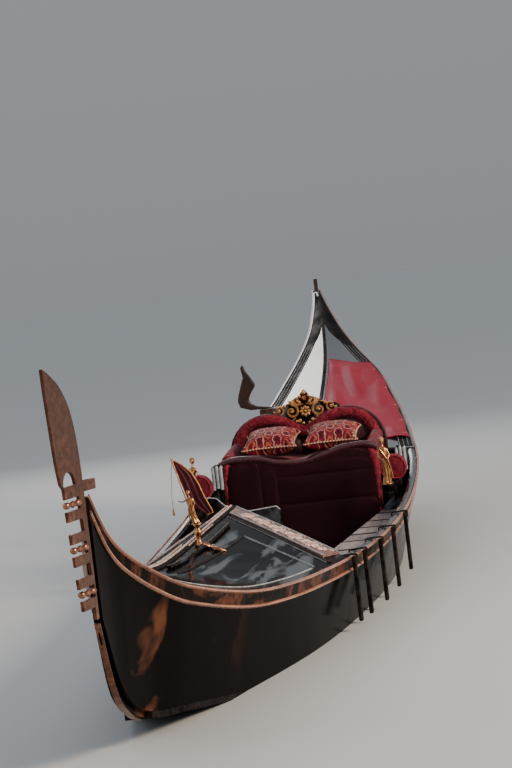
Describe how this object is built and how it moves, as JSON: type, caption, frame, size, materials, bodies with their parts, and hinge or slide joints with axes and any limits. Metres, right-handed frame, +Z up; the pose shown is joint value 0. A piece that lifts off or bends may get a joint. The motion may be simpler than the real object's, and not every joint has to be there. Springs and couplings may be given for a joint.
{
  "type": "gondola boat",
  "caption": "Long narrow black rowing boat with a comb-shaped bow iron, roof-shaped decks, a red love seat and a rowing crutch at the stern.",
  "frame": {"origin": "amidships on the bow-to-stern line, at the water's surface", "axes": "+X to the bow, +Y to port, +Z up"},
  "size_m": [10.8178, 1.4805, 2.048],
  "materials": {
    "black_lacquer": "deep black gloss lacquer on wood",
    "rail_wood": "varnished red-brown wood",
    "plank_wood": "worn grey boards",
    "walnut": "oiled dark walnut",
    "carved_gilt": "carved wood with old gilt and pink-cream paint",
    "bow_iron": "brown polished iron",
    "brass": "cast brass, polished",
    "red_velvet": "crimson velvet",
    "maroon_leather": "dark maroon leather",
    "brocade": "crimson and cream brocade",
    "cover_cloth": "coated crimson cloth",
    "pennant_cloth": "dark red cloth with a gold edge"
  },
  "bodies": {
    "boat": {"aft_bulkhead": "black_lacquer", "aft_deck_port": "black_lacquer", "aft_deck_starboard": "black_lacquer", "bottom_planking": "black_lacquer", "brass_figure_port": "brass", "brass_figure_starboard": "brass", "brocade_cushion_port": "brocade", "brocade_cushion_starboard": "brocade", "carved_board_port": "carved_gilt", "carved_board_starboard": "carved_gilt", "cockpit_sole": "plank_wood", "crutch_block": "walnut", "deck_cover": "cover_cloth", "fender_1": "black_lacquer", "fender_2": "black_lacquer", "fender_3": "black_lacquer", "fender_4": "black_lacquer", "fender_5": "black_lacquer", "ferro": "bow_iron", "ferro_frieze_1": "carved_gilt", "ferro_frieze_2": "carved_gilt", "ferro_frieze_3": "carved_gilt", "floor_timbers": "rail_wood", "fluted_board_port": "black_lacquer", "fluted_board_starboard": "black_lacquer", "foredeck_beam": "black_lacquer", "foredeck_figure": "brass", "foredeck_figure_base": "brass", "foredeck_port": "black_lacquer", "foredeck_ridge_cap": "carved_gilt", "foredeck_starboard": "black_lacquer", "front_board": "black_lacquer", "pedestal_port": "black_lacquer", "pedestal_starboard": "black_lacquer", "pennant": "pennant_cloth", "port_gunwale_cap": "black_lacquer", "port_lower_rail": "rail_wood", "port_side": "black_lacquer", "port_side_deck": "plank_wood", "port_upper_rail": "rail_wood", "rope_moulding_port": "black_lacquer", "seat_arm_port": "red_velvet", "seat_arm_starboard": "red_velvet", "seat_back": "red_velvet", "seat_box": "black_lacquer", "seat_crest": "carved_gilt", "seat_front_panel": "maroon_leather", "seat_pad": "red_velvet", "side_bolster_port": "red_velvet", "side_bolster_starboard": "red_velvet", "starboard_gunwale_cap": "black_lacquer", "starboard_lower_rail": "rail_wood", "starboard_side": "black_lacquer", "starboard_side_deck": "plank_wood", "starboard_upper_rail": "rail_wood", "stem_post": "black_lacquer", "stem_strap": "bow_iron", "stern_post": "black_lacquer", "stern_strap": "bow_iron"},
    "crutch": {"rowing_crutch": "walnut"}
  },
  "joints": [
    {"name": "crutch_lift", "type": "slide", "parent": "boat", "child": "crutch", "axis": [0, 0, 1], "range_m": [0, 0.12]}
  ]
}
